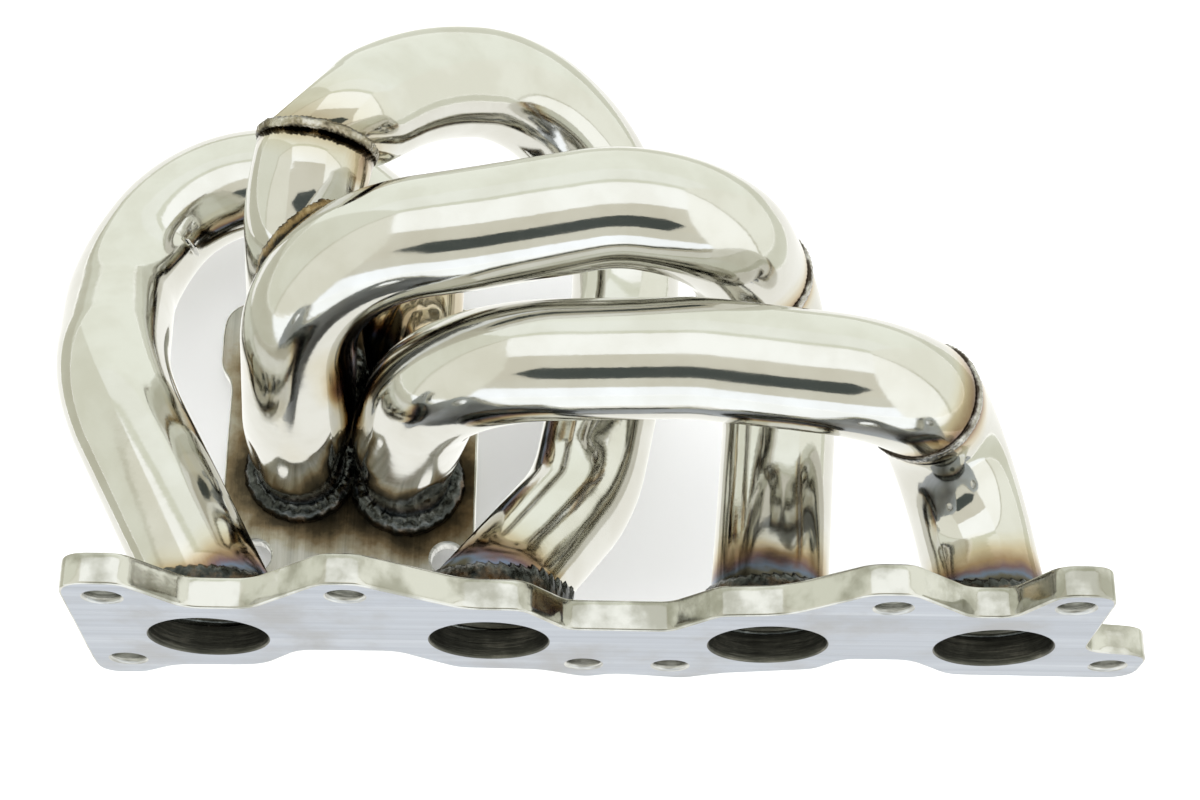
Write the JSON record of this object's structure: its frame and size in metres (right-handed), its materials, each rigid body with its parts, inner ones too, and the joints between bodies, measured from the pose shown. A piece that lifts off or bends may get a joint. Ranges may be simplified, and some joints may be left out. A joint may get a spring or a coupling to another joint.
{
  "type": "exhaust manifold",
  "caption": "Tubular exhaust manifold: bent, welded runners carry gas from a cylinder-head flange round to one turbocharger inlet flange.",
  "frame": {"origin": "on the cylinder-head face, midway between the two middle ports", "axes": "+X along the port row towards port 4, -Y out of the head face towards the engine, +Z away from the turbine flange"},
  "size_m": [0.368, 0.2139, 0.159],
  "materials": {
    "polished_stainless": "mirror polished, straw and blue heat tint near the welds",
    "ground_steel": "ground mating face, polished edges",
    "plate_steel": "brushed, brown heat tint round the welds",
    "weld_bead": "dark rippled weld bead"
  },
  "bodies": {
    "root": {"head_flange": "ground_steel", "turbine_flange": "plate_steel", "runner1_tube": "polished_stainless", "runner2_lower_tube": "polished_stainless", "runner2_drop_tube": "polished_stainless", "runner3_elbow": "polished_stainless", "runner3_upper_tube": "polished_stainless", "runner4_elbow": "polished_stainless", "runner4_upper_tube": "polished_stainless", "port1_weld": "weld_bead", "foot1_weld": "weld_bead", "port2_weld": "weld_bead", "foot2_weld": "weld_bead", "port3_weld": "weld_bead", "foot3_weld": "weld_bead", "port4_weld": "weld_bead", "foot4_weld": "weld_bead", "runner2_joint_weld": "weld_bead", "runner3_joint_weld": "weld_bead", "runner4_joint_weld": "weld_bead"}
  },
  "joints": []
}
